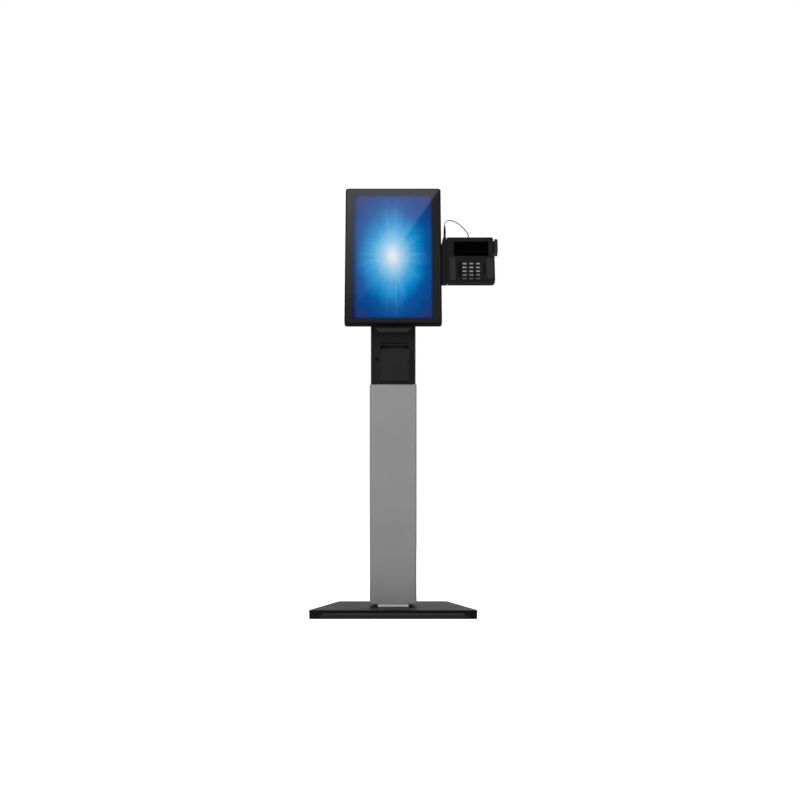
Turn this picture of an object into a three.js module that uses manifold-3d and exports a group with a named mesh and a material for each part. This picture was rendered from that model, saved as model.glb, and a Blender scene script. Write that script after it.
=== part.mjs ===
// Free-standing card payment terminal: tilted touch screen, side card terminal,
// receipt printer, column and floor base. Millimetres, +Z up, front towards -Y.
import * as THREE from 'three';
import { mergeVertices } from 'three/addons/utils/BufferGeometryUtils.js';
import Module from 'manifold-3d';

const wasm = await Module();
wasm.setup();

// ---------------------------------------------------------------- dimensions
const GAP = 0.3;

const BASE_FRONT_W = 561;
const BASE_BACK_W = 378;
const BASE_FRONT_Y = -204;
const BASE_BACK_Y = 204;
const SLAB_RIM_H = 18.6;
const BASE_H = 29;
const SHEET = 3;

const PLINTH_H = 9;
const COLUMN_W = 157.8;
const COLUMN_D = 124;
const COLUMN_Z0 = BASE_H + GAP + PLINTH_H + GAP;
const COLUMN_Z1 = 777.2;
const COLUMN_WALL = 2.5;
const COLUMN_CORNER = 12;
const BACK_COVER_T = 3.5;
const INLET_Z = 96;

const HOUSING_W = 150.6;
const HOUSING_Z0 = COLUMN_Z1 + GAP;
const HOUSING_Z1 = 985;
const RECESS_HALF_W = 67.5;
const RECESS_Z0 = 782;
const RECESS_Z1 = 950;
const CEILING_FRONT_Z = 969;
const CEILING_BACK_Y = -55;

const CASE_HALF_W = 67;
const CASE_FRONT_Y = -58.5;
const CASE_BACK_Y = 45;
const BAY_X0 = -42.5;
const BAY_X1 = 52.5;
const BAY_Z0 = 787;
const SLOT_Z0 = 899;
const SLOT_Z1 = 916;
const COVER_HINGE = { y: -56, z: 792 };
const PLATEN = { x0: -38, x1: 48, y: -46.5, z: 897, r: 6, shaftR: 2.5 };
const ROLL = { x0: -35.5, x1: 44, y: -8, r: 36, coreR: 6.5 };

const PIVOT = { y: 3.4, z: 1182.4 };
const MAST_Z1 = 1150;

const TILT = THREE.MathUtils.degToRad(-25);
const HEAD_CENTRE = { y: -60, z: 1212 };
const SCREEN_W = 324;
const SCREEN_TOP = 263.5;
const SCREEN_LOW = -259.4;
const FRAME_T = 24;
const GLASS_T = 3;
const ACTIVE_W = 286;
const ACTIVE_H = 493;
const REAR_T = 50;

const TERM = { x: 260.8, z: -14.5, w: 161.6, h: 173.8 };
const TERM_FRONT_Y = 4;
const TERM_SPLIT_Y = 20;
const TERM_BACK_Y = 45.7;
const TERM_LOW_BACK_Y = 29;
const TERM_SLOPE_V = -48;
const SWIPE_EDGE_U = 76.8;
const SWIPE_LOW_V = 15;
const LENS = { u0: -56.6, u1: 59.8, v0: 14.3, v1: 70.5, t: 2 };
const KEY_W = 16.5;
const KEY_H = 9.5;
const KEY_COLUMNS = [-21.5, 1.3, 24.1];
const KEY_ROWS = [-16.4, -31, -45.4, -59.6];
const FUNCTION_ROW = -73.8;

const BOSS_U = -6.2;

const STYLUS_X = 174.6;
const STYLUS_Y = 18;
const WELL_FLOOR = 28;
const HOLDER_TOP = 46;
const HOLDER_PEAK = 75;
const PEN_LENGTH = 102;
const PEN_R = 3.8;
const CORD_R = 1.6;

// ----------------------------------------------------------------- materials
function paint(color, roughness, metalness = 0) {
  return new THREE.MeshStandardMaterial({ color, roughness, metalness });
}

const blackPaint = () => paint(0x1b1b1c, 0.45, 0.2);
const silverPaint = () => paint(0x9a9a9b, 0.45, 0.6);
const blackPlastic = () => paint(0x232425, 0.5);
const gloss = () => paint(0x08090a, 0.1);
const steel = () => paint(0xa8a9ab, 0.3, 1);
const rubber = () => paint(0x161616, 0.85);
const board = () => paint(0x14482c, 0.55);

// ------------------------------------------------------------------- helpers
function place(group, name, geometry, material) {
  const mesh = new THREE.Mesh(geometry, material);
  mesh.name = name;
  group.add(mesh);
  return mesh;
}

function toManifold(geometry) {
  const bare = geometry.clone();
  bare.deleteAttribute('normal');
  bare.deleteAttribute('uv');
  const merged = mergeVertices(bare, 1e-4);
  const mesh = new wasm.Mesh({
    numProp: 3,
    vertProperties: new Float32Array(merged.attributes.position.array),
    triVerts: new Uint32Array(merged.index.array),
  });
  return new wasm.Manifold(mesh);
}

function toGeometry(solid) {
  const mesh = solid.getMesh();
  const geometry = new THREE.BufferGeometry();
  geometry.setAttribute('position', new THREE.BufferAttribute(mesh.vertProperties, 3));
  geometry.setIndex(new THREE.BufferAttribute(mesh.triVerts, 1));
  geometry.computeVertexNormals();
  return geometry;
}

function cut(geometry, ...tools) {
  let solid = toManifold(geometry);
  for (const tool of tools) solid = solid.subtract(toManifold(tool));
  return toGeometry(solid);
}

function join(geometry, ...others) {
  let solid = toManifold(geometry);
  for (const other of others) solid = solid.add(toManifold(other));
  return toGeometry(solid);
}

function common(a, b) {
  return toGeometry(toManifold(a).intersect(toManifold(b)));
}

function box(x0, x1, y0, y1, z0, z1) {
  const geometry = new THREE.BoxGeometry(x1 - x0, y1 - y0, z1 - z0);
  return geometry.translate((x0 + x1) / 2, (y0 + y1) / 2, (z0 + z1) / 2);
}

function polygon(points) {
  return new THREE.Shape(points.map(([u, v]) => new THREE.Vector2(u, v)));
}

// A closed outline whose corners have their own radii; points are [u, v, radius].
function rounded(points) {
  const shape = new THREE.Shape();
  const count = points.length;
  points.forEach(([u, v, radius = 0], i) => {
    const here = new THREE.Vector2(u, v);
    const before = new THREE.Vector2(...points[(i + count - 1) % count].slice(0, 2));
    const after = new THREE.Vector2(...points[(i + 1) % count].slice(0, 2));
    const start = here.clone().add(before.sub(here).setLength(radius));
    const end = here.clone().add(after.sub(here).setLength(radius));
    if (i === 0) shape.moveTo(start.x, start.y);
    else shape.lineTo(start.x, start.y);
    if (radius > 0) shape.quadraticCurveTo(u, v, end.x, end.y);
  });
  shape.closePath();
  return shape;
}

function roundRect(u0, u1, v0, v1, radius) {
  return rounded([[u0, v0, radius], [u1, v0, radius], [u1, v1, radius], [u0, v1, radius]]);
}

function extrude(shape, depth, curveSegments = 3) {
  return new THREE.ExtrudeGeometry(shape, { depth, bevelEnabled: false, curveSegments });
}

// Outline in plan (X, Y), thick along Z.
function slabZ(shape, z0, z1, curveSegments) {
  return extrude(shape, z1 - z0, curveSegments).translate(0, 0, z0);
}

// Outline seen from the front (X, Z), thick along Y.
function slabY(shape, y0, y1, curveSegments) {
  return extrude(shape, y1 - y0, curveSegments).rotateX(Math.PI / 2).translate(0, y1, 0);
}

// Outline seen from the side (Y, Z), thick along X.
function slabX(shape, x0, x1, curveSegments) {
  const turn = new THREE.Matrix4().makeBasis(
    new THREE.Vector3(0, 1, 0),
    new THREE.Vector3(0, 0, 1),
    new THREE.Vector3(1, 0, 0),
  );
  return extrude(shape, x1 - x0, curveSegments).applyMatrix4(turn).translate(x0, 0, 0);
}

function rodX(x0, x1, y, z, radius, sides = 16) {
  const geometry = new THREE.CylinderGeometry(radius, radius, x1 - x0, sides);
  return geometry.rotateZ(Math.PI / 2).translate((x0 + x1) / 2, y, z);
}

function rodZ(x, y, z0, z1, radius, sides = 12) {
  const geometry = new THREE.CylinderGeometry(radius, radius, z1 - z0, sides);
  return geometry.rotateX(Math.PI / 2).translate(x, y, (z0 + z1) / 2);
}

// -------------------------------------------------------------- base, column
function basePlan(inset, corner) {
  const low = BASE_FRONT_Y + inset;
  const high = BASE_BACK_Y - inset;
  const front = BASE_FRONT_W / 2 - inset * 1.25;
  const back = BASE_BACK_W / 2 - inset * 1.25;
  return rounded([
    [-front, low, corner], [front, low, corner],
    [back, high, corner], [-back, high, corner],
  ]);
}

function buildBase(group) {
  const rim = slabZ(basePlan(0.6, 7), 0, SLAB_RIM_H);
  const raised = slabZ(basePlan(SHEET + GAP, 5), SLAB_RIM_H - 1, BASE_H - SHEET - GAP);
  place(group, 'base_plate', join(rim, raised), blackPaint());

  const lid = slabZ(basePlan(0, 8), SLAB_RIM_H + GAP, BASE_H);
  const hollow = slabZ(basePlan(SHEET, 5.4), SLAB_RIM_H - 5, BASE_H - SHEET);
  place(group, 'base_cover', cut(lid, hollow), blackPaint());
}

function buildColumn(group) {
  const half = COLUMN_W / 2;
  const front = -COLUMN_D / 2;
  const back = COLUMN_D / 2 - BACK_COVER_T - GAP;
  const plinth = polygon([
    [-51, front + 2], [51, front + 2], [55, front + 40], [75, front + 40],
    [75, back], [-75, back], [-75, front + 40], [-55, front + 40],
  ]);
  place(group, 'column_plinth', slabZ(plinth, BASE_H + GAP, COLUMN_Z0 - GAP), silverPaint());

  const outside = rounded([
    [-half, front, COLUMN_CORNER], [half, front, COLUMN_CORNER], [half, back], [-half, back],
  ]);
  const inside = rounded([
    [-half + COLUMN_WALL, front + COLUMN_WALL, COLUMN_CORNER - COLUMN_WALL],
    [half - COLUMN_WALL, front + COLUMN_WALL, COLUMN_CORNER - COLUMN_WALL],
    [half - COLUMN_WALL, back + 1], [-half + COLUMN_WALL, back + 1],
  ]);
  const shell = cut(
    slabZ(outside, COLUMN_Z0, COLUMN_Z1),
    slabZ(inside, COLUMN_Z0 - 1, COLUMN_Z1 + 1),
  );
  place(group, 'column_shell', shell, silverPaint());

  const panel = box(-half, half, back + GAP, COLUMN_D / 2, COLUMN_Z0, COLUMN_Z1);
  const inletHole = box(-16, 16, back - 1, COLUMN_D / 2 + 1, INLET_Z - 12, INLET_Z + 12);
  place(group, 'column_back_cover', cut(panel, inletHole), silverPaint());

  const body = box(-15.7, 15.7, back - 18, COLUMN_D / 2 - 0.5, INLET_Z - 11.7, INLET_Z + 11.7);
  const socket = box(-12.2, 12.2, back - 14, COLUMN_D / 2 + 1, INLET_Z - 8.2, INLET_Z + 8.2);
  place(group, 'power_inlet', cut(body, socket), blackPlastic());
}

// ------------------------------------------------------------ printer module
function buildPrinterHousing(group) {
  const half = HOUSING_W / 2;
  const front = -COLUMN_D / 2;
  const back = COLUMN_D / 2;
  const outline = rounded([
    [-half, front, 6], [half, front, 6], [half, back, 3], [-half, back, 3],
  ]);
  const recess = box(-RECESS_HALF_W, RECESS_HALF_W, front - 5, 52, RECESS_Z0, RECESS_Z1);
  const ceiling = slabX(
    polygon([
      [front - 5, RECESS_Z1 - 5], [CEILING_BACK_Y, RECESS_Z1 - 5], [CEILING_BACK_Y, RECESS_Z1 + 1],
      [front, CEILING_FRONT_Z], [front - 5, CEILING_FRONT_Z + 1.9],
    ]),
    -65, 65,
  );
  const splay = slabZ(
    polygon([[-78.5, front - 5], [78.5, front - 5], [46, CEILING_BACK_Y], [-46, CEILING_BACK_Y]]),
    RECESS_Z1 - 6, CEILING_FRONT_Z + 4,
  );
  const housing = cut(
    slabZ(outline, HOUSING_Z0, HOUSING_Z1, 2),
    recess,
    common(ceiling, splay),
  );
  place(group, 'printer_housing', housing, blackPlastic());
}

function buildPrinter(group) {
  const shell = box(-CASE_HALF_W, CASE_HALF_W, CASE_FRONT_Y, CASE_BACK_Y, RECESS_Z0 + GAP, RECESS_Z1 - 0.5);
  const bay = box(BAY_X0, BAY_X1, CASE_FRONT_Y - 5, CASE_BACK_Y - 4, BAY_Z0, SLOT_Z1);
  const buttonHole = box(-59.3, -51.7, CASE_FRONT_Y - 1, CASE_FRONT_Y + 8, 859.2, 866.8);
  const ledHole = box(-58.4, -55.4, CASE_FRONT_Y - 1, CASE_FRONT_Y + 4, 899, 905.6);
  place(group, 'printer_case', cut(shell, bay, buttonHole, ledHole), blackPlastic());

  place(group, 'printer_led', box(-58.1, -55.7, CASE_FRONT_Y + 0.2, CASE_FRONT_Y + 3.7, 899.3, 905.3),
    paint(0x9fb8c8, 0.3));
  place(group, 'power_button', box(-58.8, -52.2, CASE_FRONT_Y - 1, CASE_FRONT_Y + 5.5, 859.7, 866.3),
    blackPlastic());

  const blade = polygon([
    [-56.6, 909.2], [-54.8, 908.4], [-49.5, 910.4], [-49.5, 914], [-56.6, 914],
  ]);
  place(group, 'tear_bar', slabX(blade, BAY_X0 + GAP, BAY_X1 - GAP), steel());
  place(group, 'thermal_head', box(PLATEN.x0, PLATEN.x1, -40.1, -34, 888, SLOT_Z1 - GAP), steel());

  const roller = join(
    rodX(PLATEN.x0, PLATEN.x1, PLATEN.y, PLATEN.z, PLATEN.r, 20),
    rodX(PLATEN.x0 - 3, PLATEN.x1 + 3, PLATEN.y, PLATEN.z, PLATEN.shaftR, 16),
  );
  place(group, 'platen_roller', roller, rubber());

  const front = slabX(
    rounded([
      [CASE_FRONT_Y, COVER_HINGE.z - 3.4, 1.5], [CASE_FRONT_Y + 3.2, COVER_HINGE.z - 3.4],
      [CASE_FRONT_Y + 3.2, SLOT_Z0 - 2.5], [CASE_FRONT_Y + 2, SLOT_Z0 - 0.5], [CASE_FRONT_Y, SLOT_Z0 - 2.5],
    ]),
    BAY_X0 + GAP, BAY_X1 - GAP,
  );
  const earProfile = rounded([
    [CASE_FRONT_Y + 2.8, PLATEN.z - 16], [PLATEN.y + 5.5, PLATEN.z - 4], [PLATEN.y + 5.5, PLATEN.z + 5, 3],
    [PLATEN.y - 5, PLATEN.z + 5, 3], [CASE_FRONT_Y + 2.8, PLATEN.z - 1],
  ]);
  const hole = () => rodX(BAY_X0, BAY_X1, PLATEN.y, PLATEN.z, PLATEN.shaftR + 0.1, 24);
  const ears = [
    slabX(earProfile, PLATEN.x0 - 3.2, PLATEN.x0 - GAP, 2),
    slabX(earProfile, PLATEN.x1 + GAP, PLATEN.x1 + 3.2, 2),
  ];
  place(group, 'printer_cover', cut(join(front, ...ears), hole()), blackPlastic());

  const rollZ = BAY_Z0 + ROLL.r + GAP;
  const ring = cut(
    rodX(ROLL.x0, ROLL.x1, ROLL.y, rollZ, ROLL.r, 28),
    rodX(ROLL.x0 - 1, ROLL.x1 + 1, ROLL.y, rollZ, ROLL.coreR, 16),
  );
  place(group, 'paper_roll', ring, paint(0xf1f0ea, 0.9));
}

// --------------------------------------------------------- head support
function buildNeck(group) {
  const mast = cut(
    slabZ(roundRect(-45, 45, 14, 50, 4), HOUSING_Z1 + GAP, MAST_Z1),
    slabZ(roundRect(-42, 42, 17, 47, 2), HOUSING_Z1 - 1, MAST_Z1 + 1),
  );
  place(group, 'head_mast', mast, blackPaint());

  const arm = slabX(
    polygon([[14, MAST_Z1 + GAP], [50, MAST_Z1 + GAP], [50, MAST_Z1 + 8], [17, PIVOT.z + 4], [-2, PIVOT.z - 9]]),
    -29.5, 29.5,
  );
  const knuckle = rodX(-29.5, 29.5, PIVOT.y, PIVOT.z, 13, 24);
  const bore = rodX(-31, 31, PIVOT.y, PIVOT.z, 5.3, 24);
  place(group, 'tilt_yoke', cut(join(arm, knuckle), bore), blackPaint());
  place(group, 'tilt_pin', rodX(-37, 37, PIVOT.y, PIVOT.z, 5, 24), steel());
}

// ------------------------------------------------------------------- display
function centredRect(w, h, radius) {
  return roundRect(-w / 2, w / 2, -h / 2, h / 2, radius);
}

function screenOutline(inset, radius) {
  const half = SCREEN_W / 2 - inset;
  return roundRect(-half, half, SCREEN_LOW + inset, SCREEN_TOP - inset, radius);
}

function buildDisplay(group) {
  const frame = cut(
    slabY(screenOutline(0, 9), 0.4, FRAME_T),
    slabY(screenOutline(2, 7), -1, GLASS_T + GAP),
    slabY(centredRect(ACTIVE_W + 4, ACTIVE_H + 4, 3), GLASS_T - 1, FRAME_T - 2.5),
    slabY(centredRect(262, 456, 3), FRAME_T - 5, FRAME_T + 1),
  );
  place(group, 'display_frame', frame, blackPlastic());
  place(group, 'touch_glass', slabY(screenOutline(2.3, 6.7), 0, GLASS_T), gloss());
  place(group, 'lcd_panel', slabY(centredRect(ACTIVE_W, ACTIVE_H, 2), GLASS_T + GAP, 14),
    paint(0x1660a0, 0.4));

  const rear = cut(
    slabY(centredRect(275, 468, 14), FRAME_T + GAP, REAR_T),
    slabY(centredRect(269, 462, 11), FRAME_T - 1, REAR_T - 3),
  );
  place(group, 'rear_cover', rear, blackPlastic());
  place(group, 'main_board', box(-90, 90, 32, 33.6, -130, 110), board());

  const lug = polygon([
    [REAR_T + 3, -16], [70, -13], [79, -9], [83, 0], [79, 9], [70, 13], [REAR_T + 3, 16],
  ]);
  const plate = join(
    slabY(centredRect(120, 120, 8), REAR_T + GAP, REAR_T + 4.3),
    slabX(lug, -34.5, -29.9, 3),
    slabX(lug, 29.9, 34.5, 3),
  );
  place(group, 'head_plate', cut(plate, rodX(-36, 36, 70, 0, 5.15, 24)), blackPaint());
}

// ------------------------------------------------------------- card terminal
function termOutline(inset, corner) {
  const left = -TERM.w / 2 + inset;
  const right = TERM.w / 2 - inset;
  const low = -TERM.h / 2 + inset;
  const high = TERM.h / 2 - inset;
  return rounded([
    [left, low, 1.5], [right, low, corner + 4],
    [right, SWIPE_LOW_V - 4, 2], [SWIPE_EDGE_U - inset, SWIPE_LOW_V, 2],
    [SWIPE_EDGE_U - inset, high, corner], [left, high, corner],
  ]);
}

function addKeys(group) {
  const labels = ['7', '8', '9', '4', '5', '6', '1', '2', '3', 'star', '0', 'hash'];
  const order = ['1', '2', '3', '4', '5', '6', '7', '8', '9', labels[9], '0', labels[11]];
  order.forEach((label, i) => {
    const u = KEY_COLUMNS[i % 3];
    const v = KEY_ROWS[Math.floor(i / 3)];
    addKey(group, `key_${label}`, u, v, KEY_H, 0x8c8d8f);
  });
  const functions = [['cancel', 0x6b2a3c], ['clear', 0x6a6428], ['enter', 0x2d5a36]];
  functions.forEach(([label, color], i) => {
    addKey(group, `key_${label}`, KEY_COLUMNS[i], FUNCTION_ROW, KEY_H - 0.6, color);
  });
}

function addKey(group, name, u, v, height, color) {
  const cap = slabY(
    roundRect(u - KEY_W / 2, u + KEY_W / 2, v - height / 2, v + height / 2, 2),
    TERM_FRONT_Y - 1.8, TERM_FRONT_Y + 4, 1,
  );
  place(group, name, cap, paint(color, 0.55));
}

function keyHoles() {
  const holes = [];
  for (const u of KEY_COLUMNS) {
    for (const v of [...KEY_ROWS, FUNCTION_ROW]) {
      holes.push(box(
        u - KEY_W / 2 - 0.4, u + KEY_W / 2 + 0.4,
        TERM_FRONT_Y - 1, TERM_FRONT_Y + 6,
        v - KEY_H / 2 - 0.4, v + KEY_H / 2 + 0.4,
      ));
    }
  }
  return holes;
}

// Everything in front of the terminal's back, which slopes forward towards its lower edge.
function slopedBack(inset) {
  const low = -TERM.h / 2;
  return slabX(polygon([
    [0, low - 5], [TERM_LOW_BACK_Y - inset - 1.5, low - 5], [TERM_LOW_BACK_Y - inset, low],
    [TERM_BACK_Y - inset, TERM_SLOPE_V], [TERM_BACK_Y + 5, TERM_SLOPE_V], [TERM_BACK_Y + 5, 120], [0, 120],
  ]), -100, 100);
}

function buildTerminal(group) {
  const body = new THREE.Group();
  body.name = 'card_terminal';
  body.position.set(TERM.x, 0, TERM.z);
  group.add(body);

  const lensHole = slabY(
    roundRect(LENS.u0 - GAP, LENS.u1 + GAP, LENS.v0 - GAP, LENS.v1 + GAP, 2.3),
    TERM_FRONT_Y - 1, TERM_FRONT_Y + 6, 1,
  );
  const top = cut(
    slabY(termOutline(0, 6), TERM_FRONT_Y, TERM_SPLIT_Y),
    slabY(termOutline(3, 3), TERM_FRONT_Y + 3, TERM_SPLIT_Y + 1, 2),
    lensHole,
    ...keyHoles(),
  );
  place(body, 'terminal_top_case', top, blackPlastic());

  const slot = box(-28, 28, 22.4, 24.8, -TERM.h / 2 - 1, -TERM.h / 2 + 10);
  const outer = common(slabY(termOutline(1.5, 6), TERM_SPLIT_Y + GAP, TERM_BACK_Y), slopedBack(0));
  const inner = common(slabY(termOutline(4.5, 3), TERM_SPLIT_Y - 1, TERM_BACK_Y - 3, 2), slopedBack(3));
  place(body, 'terminal_bottom_case', cut(outer, inner, slot), blackPlastic());

  const reader = cut(
    box(-32, 32, 19.6, 27.6, -TERM.h / 2 + 8.5, -TERM.h / 2 + 55),
    box(-28, 28, 22.4, 24.8, -TERM.h / 2, -TERM.h / 2 + 50),
  );
  place(body, 'chip_card_reader', reader, blackPlastic());

  place(body, 'terminal_lens', slabY(
    roundRect(LENS.u0, LENS.u1, LENS.v0, LENS.v1, 2),
    TERM_FRONT_Y + 0.4, TERM_FRONT_Y + 0.4 + LENS.t, 1,
  ), gloss());
  place(body, 'terminal_screen', box(LENS.u0 + 4, LENS.u1 - 4, TERM_FRONT_Y + 2.7, TERM_FRONT_Y + 8,
    LENS.v0 + 4, LENS.v1 - 4), paint(0x111820, 0.3));
  place(body, 'keypad_mat', box(-34, 36, TERM_FRONT_Y + 6.2, TERM_FRONT_Y + 7.8, -81, -8), rubber());
  place(body, 'terminal_board', box(-70, 70, TERM_FRONT_Y + 8.4, TERM_FRONT_Y + 10, -78, 75), board());
  addKeys(body);

  const rail = cut(
    slabY(roundRect(SWIPE_EDGE_U + GAP, 92.2, 32, 81.5, 2), 6, 38, 2),
    slabY(roundRect(SWIPE_EDGE_U - 1, 81, 15, 95, 0), 5, 18, 1),
  );
  place(body, 'swipe_rail', rail, blackPlastic());
  place(body, 'cord_boss', rodZ(BOSS_U, 12, TERM.h / 2 + GAP, TERM.h / 2 + 3.3, 3.4, 12), rubber());

  place(group, 'terminal_cradle', slabY(
    roundRect(TERM.x - 66, TERM.x + 60, TERM.z - 44, TERM.z + 64, 6), TERM_BACK_Y + GAP, REAR_T,
  ), blackPaint());
  place(group, 'terminal_arm', slabY(
    roundRect(72, TERM.x + 48, TERM.z - 34, TERM.z + 34, 5), REAR_T + GAP, REAR_T + 5.3,
  ), blackPaint());
}

function buildStylus(group) {
  const left = SCREEN_W / 2 + GAP;
  const right = TERM.x - TERM.w / 2 - GAP;
  const wedge = rounded([
    [left, -101, 2], [right, -101, 0.5], [right, HOLDER_PEAK, 0.5],
    [STYLUS_X - 5.8, HOLDER_PEAK, 1], [left, HOLDER_TOP, 1],
  ]);
  const holder = cut(
    slabY(wedge, 8, 28.5, 2),
    rodZ(STYLUS_X, STYLUS_Y, WELL_FLOOR, HOLDER_PEAK + 1, PEN_R + 0.4, 16),
  );
  place(group, 'stylus_holder', holder, blackPlastic());

  const profile = [
    [0, 0], [1.2, 0], [3.2, 7], [PEN_R, 18], [PEN_R, 78], [3, 88], [1.9, PEN_LENGTH], [0, PEN_LENGTH],
  ];
  const pen = new THREE.LatheGeometry(profile.map(([r, h]) => new THREE.Vector2(r, h)), 16);
  pen.rotateX(Math.PI / 2).translate(STYLUS_X, STYLUS_Y, WELL_FLOOR + GAP);
  place(group, 'stylus', pen, blackPlastic());

  const end = new THREE.Vector3(TERM.x + BOSS_U, 12, TERM.z + TERM.h / 2 + 3.3 + 2 * GAP);
  const start = new THREE.Vector3(STYLUS_X, STYLUS_Y, WELL_FLOOR + PEN_LENGTH + 3 * GAP);
  const path = new THREE.CatmullRomCurve3([
    start,
    new THREE.Vector3(STYLUS_X + 0.2, STYLUS_Y, start.z + 3),
    new THREE.Vector3(STYLUS_X + 3.2, 18, 141),
    new THREE.Vector3(186.5, 17.5, 146.4),
    new THREE.Vector3(199, 16, 144.6),
    new THREE.Vector3(220.4, 13, 131.5),
    new THREE.Vector3(241, 11.5, 108.5),
    new THREE.Vector3(252, 11.8, 91.5),
    new THREE.Vector3(end.x, end.y, end.z + 3),
    end,
  ]);
  const ring = new THREE.Shape().absarc(0, 0, CORD_R, 0, Math.PI * 2);
  const cord = new THREE.ExtrudeGeometry(ring, { steps: 26, curveSegments: 4, extrudePath: path });
  place(group, 'stylus_cord', cord, rubber());
}

// ------------------------------------------------------------------ assembly
const group = new THREE.Group();
group.name = 'card_payment_terminal';

const stand = new THREE.Group();
stand.name = 'stand';
group.add(stand);
buildBase(stand);
buildColumn(stand);
buildPrinterHousing(stand);
buildPrinter(stand);
buildNeck(stand);

const head = new THREE.Group();
head.name = 'head';
head.position.set(0, HEAD_CENTRE.y, HEAD_CENTRE.z);
head.rotation.x = TILT;
group.add(head);
buildDisplay(head);
buildTerminal(head);
buildStylus(head);

export default group;
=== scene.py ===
import math

import bmesh
import bpy
from mathutils import Matrix, Vector


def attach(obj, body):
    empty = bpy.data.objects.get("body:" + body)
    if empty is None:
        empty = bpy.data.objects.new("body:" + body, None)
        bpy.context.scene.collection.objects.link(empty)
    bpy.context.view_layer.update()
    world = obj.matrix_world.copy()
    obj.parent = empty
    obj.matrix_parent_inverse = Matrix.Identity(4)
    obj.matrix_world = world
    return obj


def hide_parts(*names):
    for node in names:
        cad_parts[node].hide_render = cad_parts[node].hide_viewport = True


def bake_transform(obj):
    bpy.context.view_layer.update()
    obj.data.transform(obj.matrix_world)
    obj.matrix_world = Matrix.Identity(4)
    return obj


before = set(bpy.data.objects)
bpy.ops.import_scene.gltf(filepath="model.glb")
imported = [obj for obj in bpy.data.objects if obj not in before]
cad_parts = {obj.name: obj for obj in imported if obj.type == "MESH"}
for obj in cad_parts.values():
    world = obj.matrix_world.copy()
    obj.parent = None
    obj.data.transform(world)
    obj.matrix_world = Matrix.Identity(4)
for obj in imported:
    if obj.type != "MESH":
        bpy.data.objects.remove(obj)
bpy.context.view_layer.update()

# A free-standing card payment terminal: touch screen, card terminal, printer, column and base.
# Shapes are drawn in millimetres and made in metres.
MM = 0.001

# ---------------- placement
# The frames that the pieces are drawn in: the tilted screen head, the card terminal on it, the row.
HEAD_TILT = math.radians(-25)
HEAD = Matrix.Translation((0, -0.060, 1.212)) @ Matrix.Rotation(HEAD_TILT, 4, "X")
TERM = HEAD @ Matrix.Translation((0.2608, 0, -0.0145))
ROW = Matrix.Identity(4)

# A level camera, far away; the shift puts the object where the photograph's framing has it.
CAMERA_DISTANCE, CAMERA_HEIGHT = 7.1, 0.569
LENS, SENSOR_WIDTH = 94.14, 36
SHIFT_X, SHIFT_Y = 0.0085, 0.058


def add_object(name, data):
    made = bpy.data.objects.new(name, data)
    bpy.context.scene.collection.objects.link(made)
    return made


def add_camera():
    data = bpy.data.cameras.new("view")
    data.lens = LENS
    data.sensor_width = SENSOR_WIDTH
    data.shift_x = SHIFT_X
    data.shift_y = SHIFT_Y
    camera = add_object("view", data)
    camera.location = (0, -CAMERA_DISTANCE, CAMERA_HEIGHT)
    camera.rotation_euler = (math.radians(90), 0, 0)
    bpy.context.scene.camera = camera


# ---------------- materials
BLACK = (0, 0, 0, 1)
WHITE = (1, 1, 1, 1)


def srgb(r, g, b):
    """A screen colour, 0 to 255, as the linear colour that the shaders take."""
    def linear(c):
        c = c / 255
        return c / 12.92 if c <= 0.04045 else ((c + 0.055) / 1.055) ** 2.4
    return (linear(r), linear(g), linear(b), 1.0)


def scaled(color, k):
    return (*[min(1.0, c * k) for c in color[:3]], 1.0)


class Recipe:
    """A material's node tree, with short ways to add and join nodes."""

    def __init__(self, name):
        self.material = bpy.data.materials.new(name)
        self.material.use_nodes = True
        self.tree = self.material.node_tree
        self.shader = self.tree.nodes["Principled BSDF"]

    def node(self, kind, inputs=(), **settings):
        made = self.tree.nodes.new("ShaderNode" + kind)
        for key, value in settings.items():
            setattr(made, key, value)
        for key, value in dict(inputs).items():
            self.feed(made.inputs[key], value)
        return made

    def feed(self, socket, value):
        if isinstance(value, bpy.types.NodeSocket):
            self.tree.links.new(value, socket)
        else:
            socket.default_value = value

    def bump(self, strength, distance, height):
        made = self.node("Bump", {"Strength": strength, "Distance": distance, "Height": height})
        self.feed(self.shader.inputs["Normal"], made.outputs[0])

    def math(self, operation, a, b=0.5, clamp=False):
        made = self.node("Math", operation=operation, use_clamp=clamp)
        self.feed(made.inputs[0], a)
        self.feed(made.inputs[1], b)
        return made.outputs[0]

    def mix(self, factor, a, b):
        made = self.node("Mix", data_type="RGBA", blend_type="MIX")
        self.feed(made.inputs[0], factor)
        self.feed(made.inputs[6], a)
        self.feed(made.inputs[7], b)
        return made.outputs[2]

    def coords(self, scale=(1, 1, 1)):
        place = self.node("TexCoord").outputs["Object"]
        return self.node("Mapping", {"Vector": place, "Scale": scale}).outputs[0]

    def noise(self, scale, detail=3, stretch=(1, 1, 1), rough=0.5):
        made = self.node("TexNoise", {
            "Vector": self.coords(stretch), "Scale": scale, "Detail": detail, "Roughness": rough,
        })
        return made.outputs["Fac"]

    def length(self, vector):
        return self.node("VectorMath", {"Vector": vector}, operation="LENGTH").outputs["Value"]

    def ramp(self, value, low, high, out_low, out_high):
        return self.node("MapRange", {"Value": value, "From Min": low, "From Max": high,
                                      "To Min": out_low, "To Max": out_high}).outputs[0]


ROUGH_SPREAD = 0.05         # how far roughness strays either side of its middle value
WEAR_RADIUS = 0.0014        # metres from an edge that its wear reaches
WORN_SHARP, WORN_SOFT = 0.985, 0.86     # how much a normal turns where wear starts and is full
WORN_LIGHTER = 2.6          # a worn edge's colour against the colour around it
DUST_COLOR = (150, 148, 144)
GRAIN_DEPTH = 0.0002
FINE_DEPTH = 0.0001


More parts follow.
